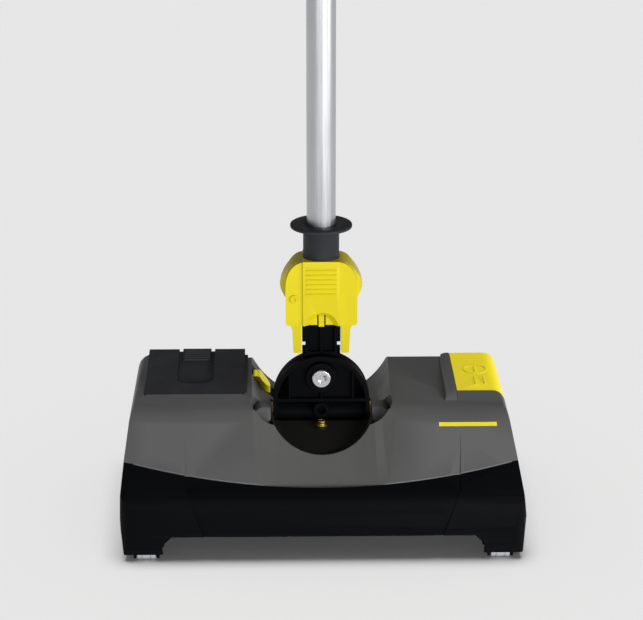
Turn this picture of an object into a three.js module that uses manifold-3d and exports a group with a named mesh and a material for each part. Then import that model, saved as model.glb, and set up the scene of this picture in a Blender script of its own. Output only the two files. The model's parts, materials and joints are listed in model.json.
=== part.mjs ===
// Battery-powered upright sweeper: a wide floor head with a brush roller, dust bin and battery,
// and a telescopic pole on a two-axis joint with a lock sleeve.
// Millimetres, +Z up, the front faces -Y. The origin is on the floor under the middle of the head.
import * as THREE from 'three';
import { mergeVertices } from 'three/addons/utils/BufferGeometryUtils.js';
import Module from 'manifold-3d';

const wasm = await Module();
wasm.setup();

// ---------------------------------------------------------------- driving dimensions
const GAP = 0.35;                    // clearance between touching pieces
const WALL = 3;                      // wall of the moulded covers

const HEAD = { half: 192.5, front: -120, back: 120, bottom: 7, top: 115, rear: 119 };
const SLOPE = { y: -105, z: 71, rise: 0.488 };        // front slope, through the seam at the middle
const SEAM = { drop: 30, end: 190, side: 84.2, step: 0.5 };      // the seam runs back by drop towards the ends
const LIP = { z: 26.8, half: 143.5, foot: 152.5, drop: 9 };   // lower edge of the bumper between the feet

const JOINT = { y: 20, shaft: 98, bolt: 139 };        // tilt shaft (along X) and swivel bolt (along Y)
const KNUCKLE = {
  r: 47.5, front: 114, rear: 109, base: 90, depth: 34, plate: 3, rim: 4, slot: 14.6, wall: 130,
};
const WELL = { half: 50.5, front: -60.5, corner: -8, back: 66, floor: 66 };
const SHELF = { back: -0.8, top: 96.5, front: 80, thick: 2.5 };   // sloping floor before the knuckle
const LENS = { x: 45.5, y: 5, rx: 24.5, ry: 34, z: 83 };     // hollow beside each end of the tilt shaft
const LEVER = { y0: 76, y1: 98, hingeX: -66.4, hingeZ: 110, room: 5 };
const TROUGH = { r: 77, z: 150.5, front: -14 };
const BASIN = { r: 330, depth: 7.6, lean: 0.026 };      // shallow hollow of the slope before the joint

const PACK = { x0: -175.5, x1: -77, y0: 20, y1: 119.5, z0: 72, front: 116, back: 128, ledge: -73.8 };
const PEDAL = { x0: 134.5, x1: 183, y0: 14, y1: 119, top: 121, skin: 3, floor: 103 };
const RAMP = { x0: 122, x1: 134.1, y0: 1, y1: 119.5, z: 121 };

const ROLLER = { y: -58, z: 29, r: 28, core: 14.5, half: 150, stub: 4 };
const MOTOR = { y: 30, z: 44, r: 19, x0: -147, x1: -88, shaft: 2.2 };
const BELT = { x0: -166, x1: -159, big: 12, small: 7, thick: 1.6 };
const BIN = { x0: -76, x1: 149, y0: -21.5, y1: 119.5, z0: 15.5, z1: 57, wall: 2, mouth: 30 };
const END_PLATE = { x0: 152.5, x1: 156 };
const FRONT_WHEEL = { x: 168.3, y: -108.5, r: 5.5, w: 18 };
const REAR_WHEEL = { x: 166, y: 92, r: 13, w: 15 };
const AXLE_R = 2;

const POST = { half: 18.7, neck: 15, shoulder: 225, depth: 13, top: 250, flange: 3.2, pocket: 163 };
const SLEEVE = {
  half: 34.8, grip: 40, panel: 18, y0: 1.5, y1: 38.5, z0: 194.5, seat: 257.5, top: 258.6, leg: 161.7,
  legIn: 19.4, legOut: 27.3, room: 0.6, travel: 22,
};
const COLLAR = { r: 17.5, z0: 257.9, z1: 290 };
const FLANGE = { r: 30, z1: 293 };
const TUBE = { r: 14, wall: 1.2, z1: 720, foot: 262 };
const UPPER = { r: 12.4, wall: 1.2, z0: 560, z1: 1072 };
const CLAMP = { r: 21, z0: 690, z1: 738 };
const GRIP = { r: 16.5, z0: 1010, z1: 1150, top: 1175 };

const COLOUR = {
  grey: 0x66666a, black: 0x17181b, dark: 0x2a2c30, yellow: 0xe6d50f, alu: 0xa9abae,
  steel: 0xc4c6c9, brass: 0xb9973f, roller: 0xa8a9ae, amber: 0xb98418, bristle: 0x1b1c1f,
  green: 0x1f5a3a, rubber: 0x1c1c1c, copper: 0xa86b3c,
};

// ---------------------------------------------------------------- solids
function solid(geometry) {
  const bare = geometry.clone();
  bare.deleteAttribute('normal');
  bare.deleteAttribute('uv');
  const merged = mergeVertices(bare, 1e-4);
  return new wasm.Manifold(new wasm.Mesh({
    numProp: 3,
    vertProperties: new Float32Array(merged.attributes.position.array),
    triVerts: new Uint32Array(merged.index.array),
  }));
}

const union = (...list) => list.reduce((sum, item) => sum.add(item));
const cut = (body, ...tools) => tools.reduce((rest, tool) => rest.subtract(tool), body);

function box(x0, x1, y0, y1, z0, z1) {
  const geometry = new THREE.BoxGeometry(x1 - x0, y1 - y0, z1 - z0);
  geometry.translate((x0 + x1) / 2, (y0 + y1) / 2, (z0 + z1) / 2);
  return solid(geometry);
}

// A box given by its half width, the same on both sides of the middle plane.
const midBox = (half, y0, y1, z0, z1) => box(-half, half, y0, y1, z0, z1);

function shapeOf(points) {
  return new THREE.Shape(points.map(([u, v]) => new THREE.Vector2(u, v)));
}

const asShape = (outline) => (Array.isArray(outline) ? shapeOf(outline) : outline);

function extrude(outline, length, segments = 6) {
  const options = { depth: length, bevelEnabled: false, curveSegments: segments };
  return new THREE.ExtrudeGeometry(asShape(outline), options);
}

// Prism along X from an outline in (y, z).
function prismX(outline, x0, x1, segments) {
  const geometry = extrude(outline, x1 - x0, segments);
  geometry.applyMatrix4(new THREE.Matrix4().set(0, 0, 1, x0, 1, 0, 0, 0, 0, 1, 0, 0, 0, 0, 0, 1));
  return solid(geometry);
}

// Prism along Y from an outline in (x, z).
function prismY(outline, y0, y1, segments) {
  const geometry = extrude(outline, y1 - y0, segments);
  geometry.applyMatrix4(new THREE.Matrix4().set(1, 0, 0, 0, 0, 0, -1, y1, 0, 1, 0, 0, 0, 0, 0, 1));
  return solid(geometry);
}

// Prism along Z from an outline in (x, y).
function prismZ(outline, z0, z1, segments) {
  const geometry = extrude(outline, z1 - z0, segments);
  geometry.translate(0, 0, z0);
  return solid(geometry);
}

function rod(axis, from, to, u, v, radius, sides = 32, radiusEnd = radius) {
  const geometry = new THREE.CylinderGeometry(radiusEnd, radius, to - from, sides);
  const mid = (from + to) / 2;
  if (axis === 'x') {
    geometry.rotateZ(-Math.PI / 2);
    geometry.translate(mid, u, v);
  } else if (axis === 'y') {
    geometry.translate(u, mid, v);
  } else {
    geometry.rotateX(Math.PI / 2);
    geometry.translate(u, v, mid);
  }
  return solid(geometry);
}

function ring(axis, from, to, u, v, outer, inner, sides = 32) {
  return cut(rod(axis, from, to, u, v, outer, sides), rod(axis, from - 1, to + 1, u, v, inner, sides));
}

// A turned body about X, Y or Z from a profile of (radius, position along the axis).
function turned(axis, profile, u, v, sides = 32) {
  const geometry = new THREE.LatheGeometry(profile.map(([r, a]) => new THREE.Vector2(r, a)), sides);
  if (axis === 'x') {
    geometry.rotateZ(-Math.PI / 2);
    geometry.translate(0, u, v);
  } else if (axis === 'y') {
    geometry.translate(u, 0, v);
  } else {
    geometry.rotateX(Math.PI / 2);
    geometry.translate(u, v, 0);
  }
  return solid(geometry);
}

// A coil spring that stands on z0, with a round wire.
function coil(x, y, z0, height, radius, wire, turns) {
  const points = [];
  const steps = turns * 10;
  for (let i = 0; i <= steps; i += 1) {
    const angle = (i / steps) * turns * Math.PI * 2;
    const z = z0 + wire + ((height - 2 * wire) * i) / steps;
    points.push(new THREE.Vector3(x + radius * Math.cos(angle), y + radius * Math.sin(angle), z));
  }
  const section = new THREE.Shape();
  section.absarc(0, 0, wire, 0, Math.PI * 2);
  const path = new THREE.CatmullRomCurve3(points);
  return solid(new THREE.ExtrudeGeometry(section, {
    steps, extrudePath: path, bevelEnabled: false, curveSegments: 3,
  }));
}

const mirrored = (body) => body.mirror([1, 0, 0]);

const sweeper = new THREE.Group();

function piece(name, body, colour, roughness = 0.55, metalness = 0) {
  const { vertProperties, triVerts } = body.getMesh();
  const geometry = new THREE.BufferGeometry();
  geometry.setAttribute('position', new THREE.BufferAttribute(new Float32Array(vertProperties), 3));
  geometry.setIndex(new THREE.BufferAttribute(new Uint32Array(triVerts), 1));
  geometry.computeVertexNormals();
  const mesh = new THREE.Mesh(geometry, new THREE.MeshStandardMaterial({ color: colour, roughness, metalness }));
  mesh.name = name;
  sweeper.add(mesh);
}

// ---------------------------------------------------------------- head outline
const slopeZ = (y) => SLOPE.z + SLOPE.rise * (y - SLOPE.y);
const topZ = (y) => HEAD.top + ((HEAD.rear - HEAD.top) * (y - 2)) / (HEAD.back - 10);

// Side view (y, z) of the head, its walls moved in by inset and its bottom moved down.
function sideOutline(inset, bottom) {
  const drop = inset * Math.hypot(1, SLOPE.rise);
  const shape = new THREE.Shape();
  shape.moveTo(HEAD.front + 4 + inset, bottom);
  shape.splineThru([
    new THREE.Vector2(HEAD.front + 1.5 + inset, 17),
    new THREE.Vector2(HEAD.front + inset, 32),
    new THREE.Vector2(HEAD.front + 0.2 + inset, 44),
    new THREE.Vector2(HEAD.front + 1.8 + inset, 55 - inset / 3),
    new THREE.Vector2(HEAD.front + 5 + inset, 62.5 - inset / 2),
    new THREE.Vector2(HEAD.front + 9.5 + inset, 67.2 - inset),
    new THREE.Vector2(SLOPE.y + inset, slopeZ(SLOPE.y + inset) - drop),
  ]);
  shape.lineTo(-28, slopeZ(-28) - drop);
  shape.quadraticCurveTo(-15 + inset / 4, HEAD.top - inset, 2, HEAD.top - inset);
  shape.lineTo(HEAD.back - 8, HEAD.rear - inset);
  shape.quadraticCurveTo(HEAD.back - inset, HEAD.rear - inset, HEAD.back - inset, HEAD.rear - 8);
  shape.lineTo(HEAD.back - inset, bottom);
  return shape;
}

// Front view (x, z): sides that swell towards the floor, with rounded shoulders. The shoulder beside
// the battery is fuller than the one under the foot switch.
function frontOutline(inset, bottom) {
  const shape = new THREE.Shape();
  const left = [[189.5, bottom], [192, 30], [HEAD.half, 42], [191.5, 66], [190, 86], [188, 103]];
  const right = [[189.5, bottom], [191.5, 30], [HEAD.half, 42], [189.5, 66], [186.5, 86], [183.5, 103]];
  shape.moveTo(-(left[0][0] - inset), bottom);
  for (const [x, z] of left.slice(1)) shape.lineTo(-(x - inset), z);
  shape.quadraticCurveTo(-(187.5 - inset), HEAD.rear - 0.5, -(174 - inset), HEAD.rear + 1);
  shape.lineTo(169 - inset, HEAD.rear + 1);
  shape.quadraticCurveTo(182.5 - inset, HEAD.rear - 2, 183.5 - inset, 103);
  for (const [x, z] of right.slice(0, 5).reverse()) shape.lineTo(x - inset, z);
  return shape;
}

// Plan view (x, y) with rounded corners.
function planOutline(inset) {
  const half = HEAD.half + 1 - inset;
  const front = HEAD.front - 1 + inset;
  const back = HEAD.back + 1 - inset;
  const corner = 18 - inset;
  const rear = 16 - inset;
  const shape = new THREE.Shape();
  shape.moveTo(-half + corner, front);
  shape.lineTo(half - corner, front);
  shape.quadraticCurveTo(half - 1, front + 1.5, half, front + corner);
  shape.lineTo(half, back - rear);
  shape.quadraticCurveTo(half, back, half - rear, back);
  shape.lineTo(-half + rear, back);
  shape.quadraticCurveTo(-half, back, -half, back - rear);
  shape.lineTo(-half, front + corner);
  shape.quadraticCurveTo(-half + 1, front + 1.5, -half + corner, front);
  return shape;
}

function headBlock(inset, bottom) {
  const side = prismX(sideOutline(inset, bottom), -200, 200, 5);
  const front = prismY(frontOutline(inset, bottom), -130, 130, 5);
  const plan = prismZ(planOutline(inset), bottom - 5, 130, 5);
  return side.intersect(front).intersect(plan);
}

// Region in front of the curved seam, moved by shift towards the back.
function seamCurtain(shift) {
  const shape = new THREE.Shape();
  const seamY = (x) => SLOPE.y + SEAM.drop * (x / SEAM.end) ** 2 + shift;
  shape.moveTo(-210, -140);
  shape.lineTo(210, -140);
  for (let x = 210; x >= -210; x -= 15) shape.lineTo(x, seamY(x));
  return prismZ(shape, -20, 140);
}

// ---------------------------------------------------------------- cutters shared by skin and cavity
// Each one is called with 0 for the outer skin and with WALL for the cavity behind it.
const troughCutter = (grow) => rod('y', TROUGH.front - grow, 140, 0, TROUGH.z, TROUGH.r + grow, 72);

function basinCutter(grow) {
  const tilt = Math.atan(SLOPE.rise) - BASIN.lean;
  const geometry = new THREE.CylinderGeometry(BASIN.r + grow, BASIN.r + grow, 150, 200);
  geometry.translate(0, -40, BASIN.r - BASIN.depth);
  geometry.rotateX(tilt);
  geometry.translate(0, -10, slopeZ(-10) - 1);
  return solid(geometry);
}

function wellOutline(grow) {
  const half = WELL.half + grow;
  const depth = WELL.corner - WELL.front + grow;
  const shape = new THREE.Shape();
  shape.moveTo(-half, WELL.back + grow);
  shape.lineTo(-half, WELL.corner);
  shape.absellipse(0, WELL.corner, half, depth, Math.PI, Math.PI * 2, false, 0);
  shape.lineTo(half, WELL.back + grow);
  return shape;
}

const packCutter = (grow) => box(
  PACK.x0 - GAP - grow, PACK.x1 + GAP + grow, PACK.y0 - GAP - grow, 140, PACK.z0 - GAP - grow, 140,
);

// The lens-shaped hollow beside the knuckle that shows the trunnion lug.
function lensCutter(grow) {
  const shape = new THREE.Shape();
  shape.absellipse(-LENS.x, LENS.y, LENS.rx + grow, LENS.ry + grow, Math.PI / 2, (Math.PI * 3) / 2, false, 0);
  return prismZ(shape, LENS.z - grow, 140, 14);
}

// The pocket under the foot pedal, open over the right-hand edge and the back.
const pedalCutter = (grow) => box(
  PEDAL.x0 - GAP - grow, 210, PEDAL.y0 - GAP - grow, 140, PEDAL.floor - grow, 140,
);

// The pocket in the left wall of the trough for the release lever.
function leverCutter(grow) {
  const wall = TROUGH.r + LEVER.room + grow;
  const deep = rod('y', LEVER.y0 - 2 - grow, LEVER.y1 + 2 + grow, 0, TROUGH.z, wall, 72);
  return deep.intersect(box(LEVER.hingeX - 3.4 - grow, -47 + grow, 0, 140, 60, 140));
}

function hollowed(block, grow) {
  const lenses = union(lensCutter(grow), mirrored(lensCutter(grow)));
  return cut(block, troughCutter(grow), basinCutter(grow), packCutter(grow), lenses,
    pedalCutter(grow), leverCutter(grow));
}

// A shallow crease that widens down the slope, as one tapering facet.
const CHEEK = { top: [134, -42], inner: [122, -90], outer: [131, -90], deep: 1.3 };

function cheekCutter() {
  const { top, inner, outer, deep } = CHEEK;
  const over = ([x, y], lift) => [x, y, slopeZ(y) + lift];
  const end = SLOPE.y - 6;
  return wasm.Manifold.hull([
    over(top, 0), over(top, 3), over(inner, 0), over(inner, 4), over(outer, 4), over(outer, -deep),
    over([inner[0] - 3, end], 0.2), over([inner[0] - 3, end], 4),
    over([outer[0] - 1.5, end], 4), over([outer[0] - 1.5, end], -deep),
  ]);
}

// The same crease carried on down the front of the bumper: the skin leans back across a slanting band.
const BAND = { low: [98.4, 112], high: [121, 129.5], z0: 24, z1: 73, lean: 0.085 };

function bandCutter() {
  const { low, high, z0, z1, lean } = BAND;
  const slant = (high[0] - low[0]) / (z1 - z0);
  const band = prismY([[low[0], z0], [low[1], z0], [high[1], z1], [high[0], z1]], -135, -95);
  const shear = [1, lean, 0, 0, 0, 1, 0, 0, 0, -lean * slant, 1, 0, 0, -lean * (low[0] - slant * z0), 0, 1];
  return band.subtract(block.transform(shear));
}

// The raised sill of the top cover before the foot switch, blended into the rounded shoulder.
function makeSill() {
  const reach = box(PEDAL.x0 - GAP + 0.3, 210, -20, 40, HEAD.top - 7, 140);
  const high = prismY(pedalOutline(0), PEDAL.y0 - GAP - 0.4, PEDAL.y0 - GAP, 6).intersect(reach);
  const low = prismY(frontOutline(0, HEAD.bottom), RAMP.y0, RAMP.y0 + 0.4, 5)
    .intersect(reach).intersect(box(0, 210, -20, 40, 90, HEAD.top - 0.1));
  return wasm.Manifold.hull([high, low]);
}

// The low sill of the top cover before the battery.
const packSill = () => prismX([
  [PACK.y0 - 9, HEAD.top - 1], [PACK.y0 - 9, HEAD.top], [PACK.y0 - 2.5, HEAD.top + 1.3],
  [PACK.y0 - GAP, HEAD.top + 1.3], [PACK.y0 - GAP, HEAD.top - 1],
], PACK.x0 + 2, PACK.x1 - 1);

// The shoulder of the top cover beside the battery, rising with it towards the back.
function packShoulder() {
  const inner = PACK.x0 - GAP;
  const section = (y, points) => points.map(([x, z]) => [x, y, z]);
  const back = HEAD.back - 3;
  return wasm.Manifold.hull([
    ...section(PACK.y0, [[-183, 108], [inner, 108], [inner, HEAD.top + 0.6], [-182, HEAD.top - 3]]),
    ...section(back, [
      [-187.4, 104], [-186.9, 110], [-184.5, 115.5], [-180.5, 119.5], [inner, 121.8], [inner, 104],
    ]),
  ]);
}

// ---------------------------------------------------------------- covers
const block = headBlock(0, HEAD.bottom);
const cavity = headBlock(WALL, HEAD.bottom - 3);
const skin = cut(block, cavity);
const COVER_EDGE = SEAM.side + GAP;
const SIDE_X = 181;                  // where the side covers meet the middle shells

function makeTopCover() {
  const shell = cut(hollowed(block, 0), hollowed(cavity, WALL));
  const skirt = union(
    box(-210, -SIDE_X, -140, 140, -20, COVER_EDGE), box(SIDE_X, 210, -140, 140, -20, COVER_EDGE),
    midBox(205, HEAD.back - 8, 140, -20, COVER_EDGE),
  );
  const spareSkirt = cut(skirt, troughCutter(WALL), packCutter(WALL));
  const ledge = prismZ(wellOutline(GAP + 2.5), 82, 130, 12).intersect(box(-80, 80, -60, WELL.corner, 82, 130));
  const collars = union(makeSill(), packSill(), packShoulder());
  const thickened = union(shell, ledge.intersect(hollowed(block, 0)), collars);
  return cut(thickened, prismZ(wellOutline(GAP), 40, 140, 12), seamCurtain(GAP), spareSkirt,
    cheekCutter(), mirrored(cheekCutter()), box(-210, 210, -140, 140, -20, 60));
}

function makeBumper() {
  const { z, half, foot, drop } = LIP;
  const lower = [[-foot, 0], [-foot, z - drop], [-half, z], [half, z], [foot, z - drop], [foot, 0]];
  const under = slopeZ(-60) - SEAM.step;
  const sunk = prismX([[-60, under], [-60, 140], [-140, 140], [-140, slopeZ(-140) - SEAM.step]], -210, 210);
  const { x, y, r, w } = FRONT_WHEEL;
  const wheelRoom = rod('x', x - w / 2 - 0.7, x + w / 2 + 0.7, y, r, r + 0.8, 36);
  return cut(skin.intersect(seamCurtain(0)), prismY(lower, -140, 0), sunk, wheelRoom, mirrored(wheelRoom),
    cheekCutter(), mirrored(cheekCutter()), bandCutter(), mirrored(bandCutter()));
}

function makeSideCover(sign) {
  const reach = box(SIDE_X + GAP, 210, -140, 140, HEAD.bottom - 5, SEAM.side);
  return cut(skin.intersect(sign > 0 ? reach : mirrored(reach)), seamCurtain(GAP));
}

piece('top_cover', makeTopCover(), COLOUR.grey, 0.5);
piece('front_bumper', makeBumper(), COLOUR.black, 0.4);
piece('side_cover_right', makeSideCover(1), COLOUR.black, 0.4);
piece('side_cover_left', makeSideCover(-1), COLOUR.black, 0.4);

// ---------------------------------------------------------------- chassis
const PAN = { z0: 12, z1: 15, half: 184 };
const LIP_SEAL = { half: 148, y0: -24.7, y1: -23.1, z0: 1.5, z1: 24 };

const wheelEars = ({ x, y, r, w }) => union(
  box(x - w / 2 - 3.2, x - w / 2 - 0.7, y - 3.8, y + 6, r - 3.8, PAN.z1 + 3),
  box(x + w / 2 + 0.7, x + w / 2 + 3.2, y - 3.8, y + 6, r - 3.8, PAN.z1 + 3),
);

const axleBore = ({ x, y, r, w }) => rod('x', x - w / 2 - 3.5, x + w / 2 + 3.5, y, r, AXLE_R + GAP, 20);

function makeChassis() {
  const plan = prismZ(planOutline(WALL + GAP + 1), PAN.z0, PAN.z1, 5);
  const pan = plan.intersect(midBox(PAN.half, -110, 140, 0, 20));
  const plate = box(END_PLATE.x0, END_PLATE.x1, -102, 116, PAN.z0, 60);
  const brow = midBox(END_PLATE.x1, LIP_SEAL.y0 - 2.9, LIP_SEAL.y0 - GAP, PAN.z0, 24);
  const saddle = (x) => box(x, x + 3, MOTOR.y - 22, MOTOR.y + 22, PAN.z0 + 1, MOTOR.z);
  const guard = box(-176, END_PLATE.x1 * -1, MOTOR.y + 16, MOTOR.y + 19, PAN.z0, 60);
  const body = union(pan, plate, mirrored(plate), brow, saddle(-140), saddle(-100), guard);
  const openings = [
    midBox(END_PLATE.x0 - 1, -140, ROLLER.y + ROLLER.r + 2, 0, 30),
    midBox(LIP_SEAL.half + 1, LIP_SEAL.y0 - GAP, LIP_SEAL.y1 + GAP, 0, 26),
    rod('x', MOTOR.x0 - 1, MOTOR.x1 + 1, MOTOR.y, MOTOR.z, MOTOR.r + GAP, 40),
    rod('x', -180, -150, MOTOR.y, MOTOR.z, 4, 20),
    rod('x', -180, 180, ROLLER.y, ROLLER.z, 8 + GAP, 24),
  ];
  for (const side of [-1, 1]) {
    for (const { x, y, r, w } of [FRONT_WHEEL, REAR_WHEEL]) {
      const from = side * x - w / 2 - 0.7;
      openings.push(box(from, from + w + 1.4, y - r - 2, y + r + 2, 0, 40));
    }
  }
  const wheels = union(wheelEars(FRONT_WHEEL), wheelEars(REAR_WHEEL));
  const bores = union(axleBore(FRONT_WHEEL), axleBore(REAR_WHEEL));
  return cut(union(cut(body, ...openings), wheels, mirrored(wheels)), bores, mirrored(bores));
}

// The black wall across the back, with the window that the dust bin slides through.
function makeRearPanel() {
  const wall = skin.intersect(midBox(SIDE_X, 100, 140, PAN.z0, SEAM.side));
  const window = box(BIN.x0 - 0.8, BIN.x1 + 0.8, 90, 130, BIN.z0 - 0.4, BIN.z1 + 0.8);
  return cut(wall, troughCutter(WALL + GAP), packCutter(WALL + GAP), window);
}

piece('chassis', makeChassis(), COLOUR.black, 0.5);
piece('rear_panel', makeRearPanel(), COLOUR.black, 0.5);

function makeWheel({ x, y, r, w }) {
  const half = w / 2;
  const profile = [
    [AXLE_R + GAP, -half], [r - 1.2, -half], [r, -half + 1.2], [r, half - 1.2], [r - 1.2, half],
    [AXLE_R + GAP, half], [AXLE_R + GAP, -half],
  ];
  return turned('x', profile.map(([radius, along]) => [radius, along + x]), y, r, 24);
}

for (const [place, wheel] of [['front', FRONT_WHEEL], ['rear', REAR_WHEEL]]) {
  for (const [side, sign] of [['right', 1], ['left', -1]]) {
    const at = { ...wheel, x: sign * wheel.x };
    const reach = wheel.w / 2 + 3;
    piece(`${place}_wheel_${side}`, makeWheel(at), COLOUR.roller, 0.6);
    const axle = rod('x', at.x - reach, at.x + reach, wheel.y, wheel.r, AXLE_R, 16);
    piece(`${place}_axle_${side}`, axle, COLOUR.steel, 0.3, 1);
  }
}

// ---------------------------------------------------------------- brush drive
function makeRollerCore() {
  const { half, core, stub } = ROLLER;
  const profile = [
    [0, -half - 18], [stub, -half - 18], [stub, -half], [core + 2, -half], [core + 2, -half + 3],
    [core, -half + 3], [core, half - 3], [core + 2, half - 3], [core + 2, half], [stub, half],
    [stub, half + 8], [0, half + 8],
  ];
  return turned('x', profile, ROLLER.y, ROLLER.z, 28);
}

// Four twisted rows of bristles on a thin sleeve round the roller.
function makeBristles() {
  const rows = 4;
  const inner = ROLLER.core + 1.6;
  const points = [];
  for (let row = 0; row < rows; row += 1) {
    const middle = (row / rows) * Math.PI * 2;
    const sleeve = [-3, -2, -1].map((step) => [(step / 3) * (Math.PI / rows) * 0.9, inner]);
    const fin = [[-0.16, inner], [-0.13, ROLLER.r], [0.13, ROLLER.r], [0.16, inner]];
    for (const [angle, radius] of [...sleeve, ...fin]) {
      points.push([radius * Math.cos(middle + angle), radius * Math.sin(middle + angle)]);
    }
  }
  const length = 2 * ROLLER.half - 8;
  const options = { depth: length, bevelEnabled: false, steps: 16 };
  const geometry = new THREE.ExtrudeGeometry(shapeOf(points), options);
  const position = geometry.attributes.position;
  for (let i = 0; i < position.count; i += 1) {
    const turn = (position.getZ(i) / length) * Math.PI * 0.6;
    const x = position.getX(i);
    const y = position.getY(i);
    position.setXY(i, x * Math.cos(turn) - y * Math.sin(turn), x * Math.sin(turn) + y * Math.cos(turn));
  }
  geometry.rotateY(Math.PI / 2);
  geometry.translate(-length / 2, ROLLER.y, ROLLER.z);
  const bore = rod('x', -200, 200, ROLLER.y, ROLLER.z, ROLLER.core + 0.4, 28);
  return cut(solid(geometry), bore);
}

function pulley(radius, y, z, bore) {
  const { x0, x1 } = BELT;
  const profile = [
    [bore, x0 - 1], [radius + 2, x0 - 1], [radius + 2, x0], [radius, x0 + 0.5], [radius, x1 - 0.5],
    [radius + 2, x1], [radius + 2, x1 + 1], [bore, x1 + 1], [bore, x0 - 1],
  ];
  return turned('x', profile, y, z, 24);
}

// Outline of a belt round both pulleys, with its surface a distance off the pulley rims.
function beltOutline(off) {
  const big = { y: ROLLER.y, z: ROLLER.z, r: BELT.big + off };
  const small = { y: MOTOR.y, z: MOTOR.z, r: BELT.small + off };
  const span = Math.hypot(small.y - big.y, small.z - big.z);
  const heading = Math.atan2(small.z - big.z, small.y - big.y);
  const lean = Math.acos((big.r - small.r) / span);
  const points = [];
  const arc = (wheel, from, to) => {
    for (let i = 0; i <= 14; i += 1) {
      const angle = from + ((to - from) * i) / 14;
      points.push([wheel.y + wheel.r * Math.cos(angle), wheel.z + wheel.r * Math.sin(angle)]);
    }
  };
  arc(small, heading - lean, heading + lean);
  arc(big, heading + lean, heading + Math.PI * 2 - lean);
  return points;
}

function makeBelt() {
  const x0 = BELT.x0 + 0.9;
  const x1 = BELT.x1 - 0.9;
  const outer = prismX(beltOutline(GAP + BELT.thick), x0, x1);
  return cut(outer, prismX(beltOutline(GAP + 0.15), x0 - 1, x1 + 1));
}

piece('brush_roller', makeRollerCore(), COLOUR.dark, 0.5);
piece('brush_bristles', makeBristles(), COLOUR.bristle, 0.9);
piece('brush_pulley', pulley(BELT.big, ROLLER.y, ROLLER.z, ROLLER.stub + GAP), COLOUR.dark, 0.5);
piece('motor_pulley', pulley(BELT.small, MOTOR.y, MOTOR.z, MOTOR.shaft + GAP), COLOUR.steel, 0.4, 1);
const motorShaft = rod('x', BELT.x0 - 3, MOTOR.x0 + 6, MOTOR.y, MOTOR.z, MOTOR.shaft, 20);
piece('motor_shaft', motorShaft, COLOUR.steel, 0.3, 1);
piece('drive_belt', makeBelt(), COLOUR.rubber, 0.9);

for (const [side, sign] of [['right', 1], ['left', -1]]) {
  const from = sign > 0 ? END_PLATE.x0 : -END_PLATE.x1;
  const race = ring('x', from, from + 3.5, ROLLER.y, ROLLER.z, 8, ROLLER.stub + GAP, 28);
  piece(`roller_bearing_${side}`, race, COLOUR.brass, 0.35, 1);
}

function makeMotor() {
  const { x0, x1, y, z, r, shaft } = MOTOR;
  const profile = [
    [0, x0 + 8], [shaft + 0.6, x0 + 8], [shaft + 0.6, x0], [6, x0], [6, x0 + 2], [r - 1, x0 + 2],
    [r, x0 + 3], [r, x1 - 6], [r - 2, x1 - 5], [r - 2, x1 - 1], [r - 3, x1], [0, x1],
  ];
  return turned('x', profile, y, z, 36);
}

piece('drive_motor', makeMotor(), COLOUR.steel, 0.35, 1);

// ---------------------------------------------------------------- dust bin and sealing lip
function makeBin() {
  const { x0, x1, y0, y1, z0, z1, wall, mouth } = BIN;
  const front = y1 - 3;
  const tray = cut(
    box(x0, x1, y0, front, z0, z1),
    box(x0 + wall, x1 - wall, y0 + wall, front - wall, z0 + wall, z1 + 5),
    box(x0 + wall, x1 - wall, y0 - 5, y0 + wall + 1, mouth, z1 + 5),
  );
  const panel = box(x0, x1, front - 0.1, y1, z0, z1);
  const grip = box((x0 + x1) / 2 - 32, (x0 + x1) / 2 + 32, y1 - 9, y1 + 5, z0 + 18, z0 + 30);
  const pocket = box((x0 + x1) / 2 - 34, (x0 + x1) / 2 + 34, y1 - 11, y1 - 1, z0 + 16, z0 + 32);
  return cut(union(tray, panel, pocket), grip);
}

piece('dust_bin', makeBin(), COLOUR.dark, 0.45);
piece('sealing_lip', midBox(...Object.values(LIP_SEAL)), COLOUR.rubber, 0.9);

// ---------------------------------------------------------------- joint housing, trunnions, shaft
const SHELF_SCREW = { y: -9.5, z: 95.2 };

function makePivotHousing() {
  const outer = prismZ(wellOutline(0), WELL.floor - 2.5, 128, 12);
  const inner = prismZ(wellOutline(-2.5), WELL.floor, 140, 12);
  const clip = cut(headBlock(1.2, 0), troughCutter(1.2), basinCutter(1.2));
  const shell = cut(outer, inner).intersect(clip);
  const notch = box(-80, 80, -5, 45, JOINT.shaft - 12, 140);
  const { back, top, front, thick } = SHELF;
  const slab = prismX([
    [back, WELL.floor - 1], [back, top], [WELL.front, front], [WELL.front, front - thick],
    [back - thick, top - thick], [back - thick, WELL.floor - 1],
  ], -60, 60).intersect(prismZ(wellOutline(-1), 40, 140, 12));
  const dish = new THREE.Shape();
  dish.absellipse(0, back + 4, WELL.half - 9, 44, Math.PI, Math.PI * 2, false, 0);
  const hollow = prismZ(dish, 70, 140, 16).intersect(prismX([
    [back, top - 0.9], [WELL.front, front - 0.9], [WELL.front, 140], [back, 140],
  ], -60, 60));
  const seat = rod('z', SHELF_SCREW.z - 8, SHELF_SCREW.z - 1, 0, SHELF_SCREW.y, 6, 24);
  const screwHole = rod('z', SHELF_SCREW.z - 7, SHELF_SCREW.z + 4, 0, SHELF_SCREW.y, 2.6, 16);
  return cut(union(cut(shell, notch), cut(slab, hollow), seat), screwHole);
}

piece('pivot_housing', makePivotHousing(), COLOUR.black, 0.35);

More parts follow.
